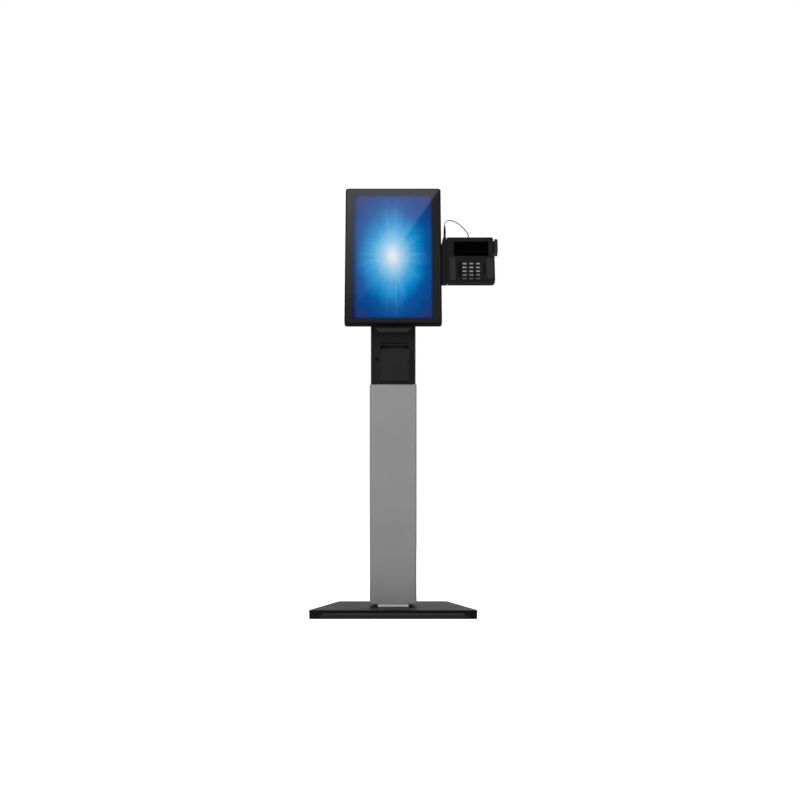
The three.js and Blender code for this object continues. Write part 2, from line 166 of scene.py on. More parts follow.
def finish(name, color, rough, metal=0.0, grain=(1400, 0.12), mottle=(14, 0.06), specular=0.5,
           wear=0.0, dust=0.0):
    """A surface with fine grain, broad colour and roughness changes, and paler worn edges.

    grain is the fine noise's scale and bump strength, mottle the broad noise's scale and tint.
    """
    color = srgb(*color)
    r = Recipe(name)
    broad = r.noise(mottle[0], 5, rough=0.6)
    tint = r.mix(r.ramp(broad, 0.3, 0.7, 0, 1), scaled(color, 1 - mottle[1]),
                 scaled(color, 1 + mottle[1]))
    fine = r.noise(grain[0], 4)
    low, high = rough - ROUGH_SPREAD, rough + ROUGH_SPREAD
    rough_socket = r.math("ADD", r.ramp(broad, 0.25, 0.75, low, high),
                          r.ramp(fine, 0.2, 0.8, -ROUGH_SPREAD, ROUGH_SPREAD))
    if wear > 0:
        rounded = r.node("Bevel", {"Radius": WEAR_RADIUS}, samples=4).outputs[0]
        true = r.node("NewGeometry").outputs["Normal"]
        bend = r.node("VectorMath", operation="DOT_PRODUCT")
        r.feed(bend.inputs[0], rounded)
        r.feed(bend.inputs[1], true)
        edge = r.ramp(bend.outputs["Value"], WORN_SHARP, WORN_SOFT, 0, wear)
        patchy = r.math("MULTIPLY", edge, r.ramp(r.noise(90, 4), 0.4, 0.62, 0.15, 1))
        tint = r.mix(patchy, tint, scaled(color, WORN_LIGHTER))
    if dust > 0:
        up = r.node("SeparateXYZ", {"Vector": r.node("NewGeometry").outputs["Normal"]}).outputs["Z"]
        settled = r.math("MULTIPLY", r.ramp(up, 0.5, 1, 0, dust),
                         r.ramp(r.noise(26, 6), 0.35, 0.7, 0.3, 1))
        tint = r.mix(settled, tint, srgb(*DUST_COLOR))
    s = r.shader.inputs
    r.feed(s["Base Color"], tint)
    r.feed(s["Roughness"], rough_socket)
    s["Metallic"].default_value = metal
    s["Specular IOR Level"].default_value = specular
    r.bump(grain[1], GRAIN_DEPTH, fine)
    return r.material


def brushed(name, color, rough, stretch):
    """Bare metal with brush lines that run where stretch is small."""
    color = srgb(*color)
    r = Recipe(name)
    lines = r.noise(900, 3, stretch)
    broad = r.noise(22, 4)
    s = r.shader.inputs
    r.feed(s["Base Color"], r.mix(lines, scaled(color, 0.86), scaled(color, 1.12)))
    r.feed(s["Roughness"], r.math("ADD", r.ramp(lines, 0.3, 0.7, rough - 0.07, rough + 0.07),
                                  r.ramp(broad, 0.3, 0.7, -0.05, 0.05)))
    s["Metallic"].default_value = 1.0
    r.bump(0.25, FINE_DEPTH, lines)
    return r.material


# The lit picture, in metres on the screen.
PICTURE_CENTRE = (-0.0012, -0.0045)
PICTURE_SQUASH = 0.62       # height counts for less than width, so the burst is taller than wide
GLOW_RADIUS = 0.2
# The burst's colours from its middle outwards, at shares of the glow radius.
GLOW_BANDS = (
    (0.0, (236, 231, 234)), (0.06, (222, 228, 236)), (0.13, (184, 214, 234)),
    (0.22, (128, 190, 226)), (0.33, (60, 158, 212)), (0.42, (2, 138, 202)),
    (0.50, (0, 114, 181)), (0.60, (0, 84, 154)), (0.78, (6, 62, 132)), (1.0, (40, 51, 110)),
)
CORE_RADIUS = (0.010, 0.038)    # rays and streaks begin and are full here
RAY_REACH = 0.11
STREAK_SPREAD, STREAK_SCALE = 0.2, 48.0
UPRIGHT_STREAKS = (0.048, 0.235, 0.22)      # half width, reach, least strength
LEVEL_STREAKS = (0.044, 0.12, 0.05)
# How much of its tint each kind of light adds: broad rays, upright streaks, level streaks.
RAY_TINTS = ((0.50, (112, 192, 236)), (0.56, (134, 200, 240)), (0.50, (150, 210, 240)))
PIXEL_LINES, PIXEL_LINE_SHADE = 620.0, 0.03
# Painted shade: each side of the window darkens towards its edge, a painted inner shadow of the
# border: axis, edge, where it is clear, share left.
PICTURE_EDGE_SHADE = (("X", -0.1364, -0.1180, 0.22), ("X", 0.1316, 0.1250, 0.45),
                 ("Z", -0.2400, -0.2340, 0.45), ("Z", 0.2380, 0.2240, 0.35))


def streaks(r, across, along, outside_core, shape):
    """Fine, almost parallel lines of light that run out from the centre and fade."""
    width, reach, least = shape
    length = r.math("ABSOLUTE", along)
    fan = r.math("DIVIDE", across, r.math("ADD", length, STREAK_SPREAD))
    line = r.node("CombineXYZ", {"X": fan, "Y": 0.0, "Z": 0.0}).outputs[0]
    lines = r.node("TexNoise", {"Vector": line, "Scale": STREAK_SCALE, "Detail": 1.0}).outputs[0]
    side = r.math("SUBTRACT", 1.0, r.math("DIVIDE", r.math("ABSOLUTE", across), width), clamp=True)
    end = r.math("SUBTRACT", 1.0, r.math("DIVIDE", length, reach), clamp=True)
    strength = r.math("MULTIPLY", r.math("MULTIPLY", side, end), outside_core)
    return r.math("MULTIPLY", r.ramp(lines, 0.45, 0.62, least, 1), strength)


def picture_material():
    """The lit screen: a soft blue light burst, stretched upright, with painted shade darkening it
    towards its edges.
    """
    r = Recipe("screen_picture")
    place = r.node("TexCoord").outputs["Object"]
    axes = r.node("SeparateXYZ", {"Vector": place})
    x = r.math("SUBTRACT", axes.outputs["X"], PICTURE_CENTRE[0])
    z = r.math("SUBTRACT", axes.outputs["Z"], PICTURE_CENTRE[1])
    squashed = r.math("MULTIPLY", z, PICTURE_SQUASH)
    radius = r.length(r.node("CombineXYZ", {"X": x, "Y": squashed, "Z": 0.0}).outputs[0])
    heading = r.node("CombineXYZ", {"X": x, "Y": z, "Z": 0.0}).outputs[0]
    heading = r.node("VectorMath", {"Vector": heading}, operation="NORMALIZE").outputs[0]

    drift = r.ramp(r.noise(16, 3), 0.3, 0.7, 0.94, 1.06)
    spread = r.math("MULTIPLY", radius, 1 / GLOW_RADIUS)
    glow = r.node("ValToRGB", {"Fac": r.math("MULTIPLY", spread, drift)})
    ramp = glow.color_ramp
    ramp.elements[0].color = srgb(*GLOW_BANDS[0][1])
    ramp.elements[1].color = srgb(*GLOW_BANDS[-1][1])
    for position, color in GLOW_BANDS[1:-1]:
        ramp.elements.new(position).color = srgb(*color)

    outside_core = r.ramp(radius, *CORE_RADIUS, 0, 1)
    pattern = r.node("TexNoise", {"Vector": heading, "Scale": 5.0, "Detail": 1.0}).outputs["Fac"]
    fade = r.math("SUBTRACT", 1.0, r.math("DIVIDE", radius, RAY_REACH), clamp=True)
    fade = r.math("MULTIPLY", fade, outside_core)
    broad_rays = r.math("MULTIPLY", r.ramp(pattern, 0.45, 0.66, 0, 1), fade)
    upright = streaks(r, x, z, outside_core, UPRIGHT_STREAKS)
    level = streaks(r, z, x, outside_core, LEVEL_STREAKS)

    color = glow.outputs[0]
    for light, (share, tint) in zip((broad_rays, upright, level), RAY_TINTS):
        color = r.mix(r.math("MULTIPLY", light, share), color, srgb(*tint))
    lines = r.node("TexWave", {"Vector": r.coords(), "Scale": PIXEL_LINES, "Distortion": 0.0})
    color = r.mix(r.math("MULTIPLY", lines.outputs["Fac"], PIXEL_LINE_SHADE), color, BLACK)
    # Painted shade: darken the picture towards each edge of the window.
    for axis, edge, clear, left in PICTURE_EDGE_SHADE:
        color = r.mix(r.ramp(axes.outputs[axis], edge, clear, 1 - left, 0), color, BLACK)
    s = r.shader.inputs
    s["Base Color"].default_value = (0.001, 0.001, 0.002, 1)
    r.feed(s["Roughness"], r.ramp(r.noise(30, 4), 0.3, 0.7, 0.02, 0.035))
    r.feed(s["Emission Color"], color)
    s["Emission Strength"].default_value = 1.0
    return r.material


def glass(name, color, rough=0.03, specular=0.5):
    """Polished glass over black print, with faint smears."""
    color = srgb(*color)
    r = Recipe(name)
    smear = r.noise(9, 6, (1, 1, 0.35), 0.65)
    s = r.shader.inputs
    r.feed(s["Base Color"], r.mix(smear, scaled(color, 0.8), scaled(color, 1.3)))
    r.feed(s["Roughness"], r.ramp(smear, 0.35, 0.75, rough * 0.6, rough * 1.9))
    s["Specular IOR Level"].default_value = specular
    r.bump(0.02, FINE_DEPTH, r.noise(60, 2))
    return r.material


def board_material():
    """Green board lacquer with copper traces under it."""
    r = Recipe("board_green")
    cells = r.node("TexBrick", {"Vector": r.coords((60, 60, 60)), "Scale": 3.0})
    cells.inputs["Color1"].default_value = srgb(18, 82, 48)
    cells.inputs["Color2"].default_value = srgb(12, 66, 38)
    cells.inputs["Mortar"].default_value = srgb(46, 122, 74)
    s = r.shader.inputs
    r.feed(s["Base Color"], cells.outputs["Color"])
    r.feed(s["Roughness"], r.ramp(r.noise(80), 0.3, 0.7, 0.28, 0.42))
    return r.material


PAPER_LAYERS = 16000        # radians of the layer lines' wave in one metre


def paper_material():
    """Wound thermal paper: fine layer lines on its ends, soft fibre on its face."""
    r = Recipe("paper_white")
    fibre = r.noise(700, 5)
    away = r.length(r.coords((0, 1, 1)))
    layers = r.math("SINE", r.math("MULTIPLY", away, PAPER_LAYERS))
    tone = r.math("ADD", r.math("MULTIPLY", layers, 0.12), fibre)
    s = r.shader.inputs
    r.feed(s["Base Color"], r.mix(tone, srgb(226, 223, 214), srgb(247, 246, 241)))
    r.feed(s["Roughness"], r.ramp(fibre, 0.3, 0.7, 0.78, 0.92))
    r.bump(0.15, FINE_DEPTH, tone)
    return r.material


# Fine grains that several finishes share: noise scale and bump strength.
COARSE_PAINT, FINE_PAINT = (900, 0.35), (1100, 0.22)
MOULDED, KEY_GRAIN = (1700, 0.25), (1500, 0.15)


def make_materials():
    return {
        "base_black": finish("base_black", (13, 13, 14), 0.42, grain=COARSE_PAINT, wear=0.25,
                             dust=0.02, specular=0.12),
        "frame_black": finish("frame_black", (22, 22, 24), 0.44, grain=COARSE_PAINT, wear=0.3),
        "column_silver": finish("column_silver", (152, 152, 153), 0.5, metal=0.2, grain=FINE_PAINT,
                                mottle=(5, 0.03), wear=0.12),
        # Painted light: a paler copy of the column's silver, so the shaded plinth looks lit.
        "foot": finish("foot_silver_painted_lit", (222, 222, 223), 0.5, metal=0.1, grain=FINE_PAINT),
        # Painted highlight: a paler grey for the line of light along the base's front seam.
        "trim": finish("base_seam_highlight_paint", (43, 43, 44), 0.5, grain=(900, 0.3)),
        # Painted sheen: a grey paler than the base's paint for its lower front.
        "trim_low": finish("base_lower_sheen_paint", (22, 22, 23), 0.5, grain=(900, 0.3), specular=0.3),
        "plastic": finish("black_plastic", (19, 19, 20), 0.47, grain=(1700, 0.28), wear=0.1,
                          specular=0.3),
        "plastic_deep": finish("deep_plastic", (17, 17, 18), 0.5, grain=MOULDED, wear=0.1,
                               specular=0.22),
        "plastic_dark": finish("dark_plastic", (12, 12, 13), 0.5, grain=(1700, 0.2)),
        # Painted light: a grey paler than the housing's black, standing in for the floor's light on
        # the printer's sloping ceiling.
        "ceiling": finish("printer_ceiling_painted_lit", (40, 40, 41), 0.55, grain=MOULDED),
        "rim": finish("frame_rim", (5, 5, 6), 0.5, grain=MOULDED, wear=0.1, specular=0.06),
        "button": finish("button_black", (6, 6, 7), 0.35, grain=(1700, 0.1), specular=0.1),
        "lamp": finish("lamp_clear", (9, 10, 11), 0.35, specular=0.2),
        "tear_black": finish("tear_edge_black", (24, 24, 25), 0.5, grain=(1200, 0.2), specular=0.2),
        "rubber": finish("black_rubber", (22, 22, 23), 0.78, grain=(1200, 0.4), specular=0.3),
        "terminal": finish("terminal_plastic", (13, 13, 14), 0.52, grain=(2000, 0.3), wear=0.12,
                           specular=0.14),
        "terminal_light": finish("terminal_inlay", (31, 31, 33), 0.42, grain=(2000, 0.2),
                                 specular=0.3),
        "cord": finish("cord_sleeve", (24, 25, 27), 0.5, grain=(2400, 0.3), specular=0.3),
        "pen_grey": finish("pen_grey", (186, 188, 186), 0.45, grain=(2400, 0.15)),
        "key": finish("key_grey", (145, 145, 147), 0.55, grain=KEY_GRAIN, wear=0.15),
        "key_dim": finish("key_grey_dim", (112, 112, 120), 0.55, grain=KEY_GRAIN, wear=0.15),
        "key_skirt": finish("key_skirt", (34, 34, 36), 0.6, grain=KEY_GRAIN, specular=0.25),
        "key_cancel": finish("key_red", (62, 48, 60), 0.55, grain=KEY_GRAIN, wear=0.15),
        "key_clear": finish("key_yellow", (68, 66, 48), 0.55, grain=KEY_GRAIN, wear=0.15),
        "key_enter": finish("key_green", (48, 58, 62), 0.55, grain=KEY_GRAIN, wear=0.15),
        "legend": finish("key_legend", (96, 96, 98), 0.6, grain=(1500, 0.1)),
        "legend_dark": finish("legend_dark", (40, 40, 42), 0.6, grain=(1500, 0.1)),
        "steel": brushed("bare_steel", (190, 191, 193), 0.32, (0.04, 1, 1)),
        "print_head": brushed("head_grey", (44, 44, 46), 0.45, (0.05, 1, 1)),
        "pin_metal": brushed("plated_pin", (200, 190, 160), 0.25, (1, 0.1, 1)),
        "glass": glass("glass_black", (34, 34, 35)),
        "lens": glass("lens_black", (3, 3, 4), 0.1, specular=0.04),
        "screen_dark": glass("screen_dark", (16, 20, 24), 0.2),
        "picture": picture_material(),
        "board": board_material(),
        "paper": paper_material(),
    }


# ---------------- meshes
def outline(points, segments=7):
    """A closed outline with true round corners, in millimetres: (u, v) or (u, v, radius) each."""
    made = []
    count = len(points)
    for i, point in enumerate(points):
        here = Vector(point[:2])
        radius = point[2] if len(point) > 2 else 0
        if radius <= 0:
            made.append(here)
            continue
        before = (Vector(points[i - 1][:2]) - here).normalized()
        after = (Vector(points[(i + 1) % count][:2]) - here).normalized()
        half = before.angle(after) / 2
        reach = radius / math.tan(half)
        centre = here + (before + after).normalized() * (radius / math.sin(half))
        start = here + before * reach - centre
        end = here + after * reach - centre
        sweep = start.angle_signed(end)
        for k in range(segments + 1):
            turn = Matrix.Rotation(-sweep * k / segments, 2)
            made.append(centre + turn @ start)
    return made


def rect(u0, u1, v0, v1, radius=0):
    return [(u0, v0, radius), (u1, v0, radius), (u1, v1, radius), (u0, v1, radius)]


def centred(w, h, radius=0):
    return rect(-w / 2, w / 2, -h / 2, h / 2, radius)


AXES = {
    "X": lambda u, v, w: (w, u, v),
    "Y": lambda u, v, w: (u, w, v),
    "Z": lambda u, v, w: (u, v, w),
}


def prism(points, low, high, axis="Z", segments=7):
    """An outline made thick along an axis: Z in plan, Y as seen from the front, X from the side."""
    flat = outline(points, segments)
    bm = bmesh.new()
    rings = []
    for level in (low, high):
        rings.append([bm.verts.new(Vector(AXES[axis](p.x, p.y, level)) * MM) for p in flat])
    bm.faces.new(rings[0])
    bm.faces.new(rings[1])
    count = len(flat)
    for i in range(count):
        j = (i + 1) % count
        bm.faces.new((rings[0][i], rings[0][j], rings[1][j], rings[1][i]))
    bmesh.ops.recalc_face_normals(bm, faces=bm.faces)
    return to_mesh(bm)


def to_mesh(bm):
    mesh = bpy.data.meshes.new("mesh")
    bm.to_mesh(mesh)
    bm.free()
    return mesh


def block(x0, x1, y0, y1, z0, z1, radius=0, axis="Z"):
    """A box; the radius rounds its four edges that run along the axis, Y or Z."""
    if axis == "Y":
        return prism(rect(x0, x1, z0, z1, radius), y0, y1, "Y")
    return prism(rect(x0, x1, y0, y1, radius), z0, z1)


def bars(corners, low, high, radius, segments=7):
    """One mesh of upright plates, each (x0, x1, z0, z1), between two depths."""
    return merged([prism(rect(*each, radius), low, high, "Y", segments) for each in corners])


def turns(count):
    return [2 * math.pi * k / count for k in range(count)]


def skin(rings, paler_from=math.inf):
    """A closed mesh over rings of points in metres; from one ring on, its second material."""
    bm = bmesh.new()
    rings = [[bm.verts.new(point) for point in ring] for ring in rings]
    count = len(rings[0])
    for level, (lower, upper) in enumerate(zip(rings, rings[1:])):
        for i in range(count):
            j = (i + 1) % count
            face = bm.faces.new((lower[i], lower[j], upper[j], upper[i]))
            face.material_index = int(level >= paler_from)
    bm.faces.new(rings[0])
    bm.faces.new(rings[-1]).material_index = int(len(rings) > paler_from)
    bmesh.ops.remove_doubles(bm, verts=bm.verts, dist=1e-7)
    bmesh.ops.recalc_face_normals(bm, faces=bm.faces)
    return to_mesh(bm)


def lathe(profile, centre, axis="Z", sides=28):
    """A turned shape; profile is (radius, height) from one end to the other."""
    place, centre = AXES[axis], Vector(centre)
    return skin([[(Vector(place(radius * math.cos(a), radius * math.sin(a), height)) + centre) * MM
                  for a in turns(sides)] for radius, height in profile])


def merged(meshes):
    bm = bmesh.new()
    for mesh in meshes:
        bm.from_mesh(mesh)
    return to_mesh(bm)


def carve(mesh, cutters, operation="DIFFERENCE"):
    """mesh less, or joined with, each cutter mesh."""
    body = add_object("work", mesh)
    tools = []
    for cutter in cutters:
        tool = add_object("tool", cutter)
        modifier = body.modifiers.new("cut", "BOOLEAN")
        modifier.operation = operation
        modifier.solver = "EXACT"
        modifier.object = tool
        tools.append(tool)
    bpy.context.view_layer.update()
    graph = bpy.context.evaluated_depsgraph_get()
    result = bpy.data.meshes.new_from_object(body.evaluated_get(graph))
    for extra in [body, *tools]:
        bpy.data.objects.remove(extra)
    return result


EDGE_ANGLE = math.radians(32)       # an edge that turns more than this is sharp, and is softened


def piece(name, mesh, body, material, nodes=(), matrix=ROW, bevel=0.0,
          segments=3):
    """Puts a mesh in place: material, soft edges, the body it rides on, what it replaces."""
    mesh.name = name
    shape = add_object(name, mesh)
    shape.matrix_world = matrix
    materials = material if isinstance(material, (list, tuple)) else [material]
    for each in materials:
        mesh.materials.append(MATERIALS[each])
    mesh.polygons.foreach_set("use_smooth", [True] * len(mesh.polygons))
    mesh.set_sharp_from_angle(angle=EDGE_ANGLE)
    soften(shape, bevel, segments)
    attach(shape, body)
    if nodes:
        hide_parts(*nodes)
    return shape


def soften(shape, width, segments):
    """Rounds the sharp edges, width in millimetres, and keeps flat faces looking flat."""
    if width > 0:
        modifier = shape.modifiers.new("edges", "BEVEL")
        modifier.width = width * MM
        modifier.segments = segments
        modifier.limit_method = "ANGLE"
        modifier.angle_limit = EDGE_ANGLE
        modifier.miter_outer = "MITER_ARC"
        modifier.harden_normals = False
    normals = shape.modifiers.new("normals", "WEIGHTED_NORMAL")
    normals.keep_sharp = True


def cad_copy(node):
    """The node's own mesh with its flat faces made whole again, ready for softer edges."""
    bm = bmesh.new()
    bm.from_mesh(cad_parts[node].data)
    bmesh.ops.remove_doubles(bm, verts=bm.verts, dist=1e-6)
    bmesh.ops.dissolve_limit(bm, angle_limit=math.radians(0.5), verts=bm.verts, edges=bm.edges)
    return to_mesh(bm)


def refined(node, body, material, bevel, segments=2):
    """A CAD node's own shape with softer edges and a better material."""
    return piece(node + "_finished", cad_copy(node), body, material, [node], bevel=bevel,
                 segments=segments)


SCREW_SIDES = 20


def screw_mesh(radius, height):
    """A domed screw head with a cross recess, standing on a face that looks towards +Y."""
    rise = [(0.0, 0.0), (radius, 0.0), (radius, height * 0.35), (radius * 0.82, height * 0.75),
            (radius * 0.45, height * 0.97), (0.0, height)]
    head = lathe(rise, (0, 0, 0), "Y", SCREW_SIDES)
    arm, wide, depth = radius * 0.55, radius * 0.14, height * 0.45
    return carve(head, [prism(rect(-u, u, -v, v), depth, height + 1, "Y")
                        for u, v in ((arm, wide), (wide, arm))])


def grid(xs, y, zs):
    return [(x, y, z) for x in xs for z in zs]


def screws(name, spots, body, matrix=ROW, radius=3.0, height=1.6):
    """One piece made of equal steel screw heads, one at each spot."""
    first = screw_mesh(radius, height)
    heads = []
    for spot in spots:
        copy = first.copy()
        copy.transform(Matrix.Translation(Vector(spot) * MM))
        heads.append(copy)
    return piece(name, merged(heads), body, "steel", matrix=matrix)


LEGEND_HEIGHT = 0.12


def glyph(name, text, size, matrix, body, material):
    """A raised legend: one flat sign that stands on a face and looks towards local -Y."""
    curve = bpy.data.curves.new(name, "FONT")
    curve.body = text
    curve.size = size * MM
    curve.align_x = "CENTER"
    curve.align_y = "CENTER"
    curve.extrude = LEGEND_HEIGHT * MM
    holder = add_object(name + "_text", curve)
    bpy.context.view_layer.update()
    graph = bpy.context.evaluated_depsgraph_get()
    mesh = bpy.data.meshes.new_from_object(holder.evaluated_get(graph))
    bpy.data.objects.remove(holder)
    mesh.transform(Matrix.Rotation(math.radians(90), 4, "X"))
    return piece(name, mesh, body, material, matrix=matrix)


# ---------------- cord
CORD_DIAMETER = 3.2
CORD_STEPS = 48
CORD_SIDES = 12
SPAN_STEPS = 24             # points made between two of the route's own, before it is evened out
SLEEVE_STEPS = 8            # the steps of the cord's end that the stylus carries in a sleeve
SLEEVE_RADIUS = 2.1
# The route in millimetres in the head's frame, from the stylus to the top of the terminal.
CORD_POINTS = [
    (174.6, 18, 130.9), (174.8, 18, 133.9), (177.8, 18, 141), (186.5, 17.5, 146.4),
    (199, 16, 144.6), (220.4, 13, 131.5), (241, 11.5, 108.5), (252, 11.8, 91.5),
    (254.6, 12, 79.3), (254.6, 12, 76.3),
]


def smooth_path(points, steps):
    """Evenly stepped centripetal Catmull-Rom curve through the points."""
    pts = [Vector(p) for p in points]
    pts = [pts[0] * 2 - pts[1]] + pts + [pts[-1] * 2 - pts[-2]]
    dense = []
    for a, b, c, d in zip(pts, pts[1:], pts[2:], pts[3:]):
        t0 = 0.0
        t1 = t0 + (b - a).length ** 0.5
        t2 = t1 + (c - b).length ** 0.5
        t3 = t2 + (d - c).length ** 0.5
        for k in range(SPAN_STEPS):
            t = t1 + (t2 - t1) * k / SPAN_STEPS
            ab = a.lerp(b, (t - t0) / (t1 - t0))
            bc = b.lerp(c, (t - t1) / (t2 - t1))
            cd = c.lerp(d, (t - t2) / (t3 - t2))
            abc = ab.lerp(bc, (t - t0) / (t2 - t0))
            bcd = bc.lerp(cd, (t - t1) / (t3 - t1))
            dense.append(abc.lerp(bcd, (t - t1) / (t2 - t1)))
    dense.append(pts[-2])
    along = [0.0]
    for a, b in zip(dense, dense[1:]):
        along.append(along[-1] + (b - a).length)
    made = []
    j = 0
    for k in range(steps + 1):
        want = along[-1] * k / steps
        while j < len(along) - 2 and along[j + 1] < want:
            j += 1
        share = (want - along[j]) / (along[j + 1] - along[j])
        made.append(dense[j].lerp(dense[j + 1], min(1.0, share)))
    return made, along[-1]


def tube(path, radius):
    """A round tube along points in metres, closed at both ends."""
    rings = []
    normal = None
    for i, point in enumerate(path):
        ahead = (path[min(i + 1, len(path) - 1)] - path[max(i - 1, 0)]).normalized()
        if normal is None:
            normal = ahead.orthogonal().normalized()
        normal = (normal - ahead * normal.dot(ahead)).normalized()
        side = ahead.cross(normal)
        rings.append([point + (normal * math.cos(a) + side * math.sin(a)) * radius
                      for a in turns(CORD_SIDES)])
    return skin(rings)


def cord_path():
    """The tether's points in metres, from the terminal to the stylus, and its length."""
    return smooth_path([HEAD @ (Vector(p) * MM) for p in reversed(CORD_POINTS)], CORD_STEPS)


def add_cord():
    path, length = cord_path()
    mesh = tube(path, CORD_DIAMETER / 2 * MM)
    mesh.materials.append(MATERIALS["cord"])
    mesh.polygons.foreach_set("use_smooth", [True] * len(mesh.polygons))
    cord = add_object("stylus_tether", mesh)
    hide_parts("stylus_cord")
    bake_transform(cord)


# ---------------- base, mast
BASE_FRONT, BASE_BACK, BASE_HALF_DEPTH = 280.5, 189, 204
RIM_H, BASE_H, SHEET, GAP = 18.6, 29, 3, 0.3
SIDE_INSET = 1.25           # the sides slant, so they move in this much more than the front does
SLAB_INSET, SLAB_STEP = 0.6, 12
# Painted light on the front edge: paler strips laid over it, the upper a painted highlight line at
# the seam, the lower a painted sheen. Each: half width, how far behind its face, lowest, highest.
PAINTED_LIGHT_STRIPS = (("base_seam_painted_highlight", "trim", 234, 0.05, 13.2, 18.2),
          ("base_lower_painted_sheen", "trim_low", 242, 0.15, 0.8, 13.0))
STRIP_BACK = 1.5


def base_plan(inset, radius):
    """The base's outline, wider in front, made smaller by an inset."""
    front, back = BASE_FRONT - inset * SIDE_INSET, BASE_BACK - inset * SIDE_INSET
    half = BASE_HALF_DEPTH - inset
    corners = ((-front, -half), (front, -half), (back, half), (-back, half))
    return [(*corner, radius) for corner in corners]


def add_base():
    rim = prism(base_plan(SLAB_INSET, 9), 0, RIM_H)
    raised = prism(base_plan(SHEET + GAP, 7), SLAB_STEP, BASE_H - SHEET - GAP)
    piece("floor_slab", carve(rim, [raised], "UNION"), "stand", "base_black", ["base_plate"],
          bevel=1.3)
    lid = carve(prism(base_plan(0, 10), RIM_H + GAP, BASE_H),
                [prism(base_plan(SHEET, 7), RIM_H - 8, BASE_H - SHEET)])
    front = -BASE_HALF_DEPTH
    # Painted light: each strip's paler grey stands in for light on the base's front.
    for name, material, half, behind, low, high in PAINTED_LIGHT_STRIPS:
        strip = block(-half, half, front + behind, front + STRIP_BACK, low, high, 0.3, "Y")
        piece(name, strip, "stand", material, bevel=0.3, segments=1)
    piece("floor_lid", lid, "stand", "base_black", ["base_cover"], bevel=1.3)


COLUMN_HALF, COLUMN_FRONT, COLUMN_BACK = 78.9, -62, 58.2
COLUMN_LOW, COLUMN_HIGH = 38.6, 777.2
COLUMN_CORNER, COLUMN_WALL, COLUMN_SEGMENTS = 12, 2.5, 12
FOOT_FRONT_HALF, FOOT_STEP_HALF, FOOT_BACK_HALF, FOOT_STEP = 51, 55, 75, 40
PANEL_FRONT, PANEL_BACK, PANEL_CORNER = 58.5, 62, 3
VENT_ROWS, VENT_TOP, VENT_PITCH = 9, 700, 9
VENT_HALF_W, VENT_HALF_H, VENT_CORNER = 34, 1.6, 1.5
INLET_HOLE = (-16, 16, 50, 70, 84, 108)
INLET_PINS = ((-7, 94), (7, 94), (0, 99))


def column_plan(inset, back):
    """The column's outline, open backwards, its front corners round."""
    half, front, corner = COLUMN_HALF - inset, COLUMN_FRONT + inset, COLUMN_CORNER - inset
    return [(-half, front, corner), (half, front, corner), (half, back), (-half, back)]


def add_column():
    half, back = COLUMN_HALF, COLUMN_BACK
    foot, step = COLUMN_FRONT + 2, COLUMN_FRONT + FOOT_STEP
    plinth = [(-FOOT_FRONT_HALF, foot), (FOOT_FRONT_HALF, foot), (FOOT_STEP_HALF, step),
              (FOOT_BACK_HALF, step), (FOOT_BACK_HALF, back), (-FOOT_BACK_HALF, back),
              (-FOOT_BACK_HALF, step), (-FOOT_STEP_HALF, step)]
    # Painted light: the plinth's paler silver stands in for light on it.
    piece("column_foot", prism(plinth, BASE_H + GAP, COLUMN_LOW - GAP), "stand", "foot",
          ["column_plinth"], bevel=0.5)
    outside = prism(column_plan(0, back), COLUMN_LOW, COLUMN_HIGH, segments=COLUMN_SEGMENTS)
    inside = prism(column_plan(COLUMN_WALL, back + 5), COLUMN_LOW - 8, COLUMN_HIGH + 8,
                   segments=COLUMN_SEGMENTS)
    piece("column_skin", carve(outside, [inside]), "stand", "column_silver", ["column_shell"],
          bevel=0.7, segments=2)

    panel = block(-half, half, PANEL_FRONT, PANEL_BACK, COLUMN_LOW, COLUMN_HIGH, PANEL_CORNER, "Y")
    rows = [VENT_TOP - row * VENT_PITCH for row in range(VENT_ROWS)]
    vents = bars([(-VENT_HALF_W, VENT_HALF_W, z - VENT_HALF_H, z + VENT_HALF_H) for z in rows],
                 PANEL_FRONT - 8, PANEL_BACK + 8, VENT_CORNER)
    piece("column_rear_panel", carve(panel, [merged([block(*INLET_HOLE), vents])]), "stand",
          "column_silver", ["column_back_cover"], bevel=0.5, segments=2)
    screws("rear_panel_screws", grid((-70, 70), 60.4, (52, 220, 400, 580, 760)), "stand",
           radius=2.8, height=1.5)

    refined("power_inlet", "stand", "plastic_dark", 0.5)
    pins = [block(x - 1, x + 1, 46.5, 55, z - 2, z + 2, 0.4) for x, z in INLET_PINS]
    piece("inlet_pins", merged(pins), "stand", "pin_metal", bevel=0.2,
          segments=1)


def add_neck():
    refined("head_mast", "stand", "frame_black", 0.8)
    refined("tilt_yoke", "stand", "frame_black", 0.8)
    refined("tilt_pin", "stand", "steel", 0.6)
    screws("mast_screws", grid((-34, 34), 50, (1000, 1135)), "stand", radius=3.4, height=2)


# ---------------- printer
SOFFIT_LEAN = math.atan2(7.0, 18.0)
SOFFIT_HINGE = Vector((0, 0, 0.967))
TOOTH_START, TOOTH_END, TOOTH_PITCH = -41.9, 51.9, 1.6
TOOTH_TIP, TOOTH_ROOT, BAR_TOP = 908.5, 909.8, 914
BUTTON, BUTTON_OPENING = (-55.5, -58.3, 863), 3.6
GROOVES_X, GROOVE_HALF, GROOVE_LOW, GROOVE_HIGH = (55.8, 59.8, 63.8), 0.5, 788, 892
SLOT_GROOVE = (-45, 54, -60, -56.5, 917.2, 919.4)
# The sloping ceiling's outline before it leans, and the section of the cover's finger grip.
SOFFIT = ((-61.5, 967.8), (-45, 952), (45, 952), (61.5, 967.8))
GRIP = ((-59.9, 890.5, 0.6), (-58.4, 888), (-58.4, 898.2), (-59.9, 898.2, 0.6))


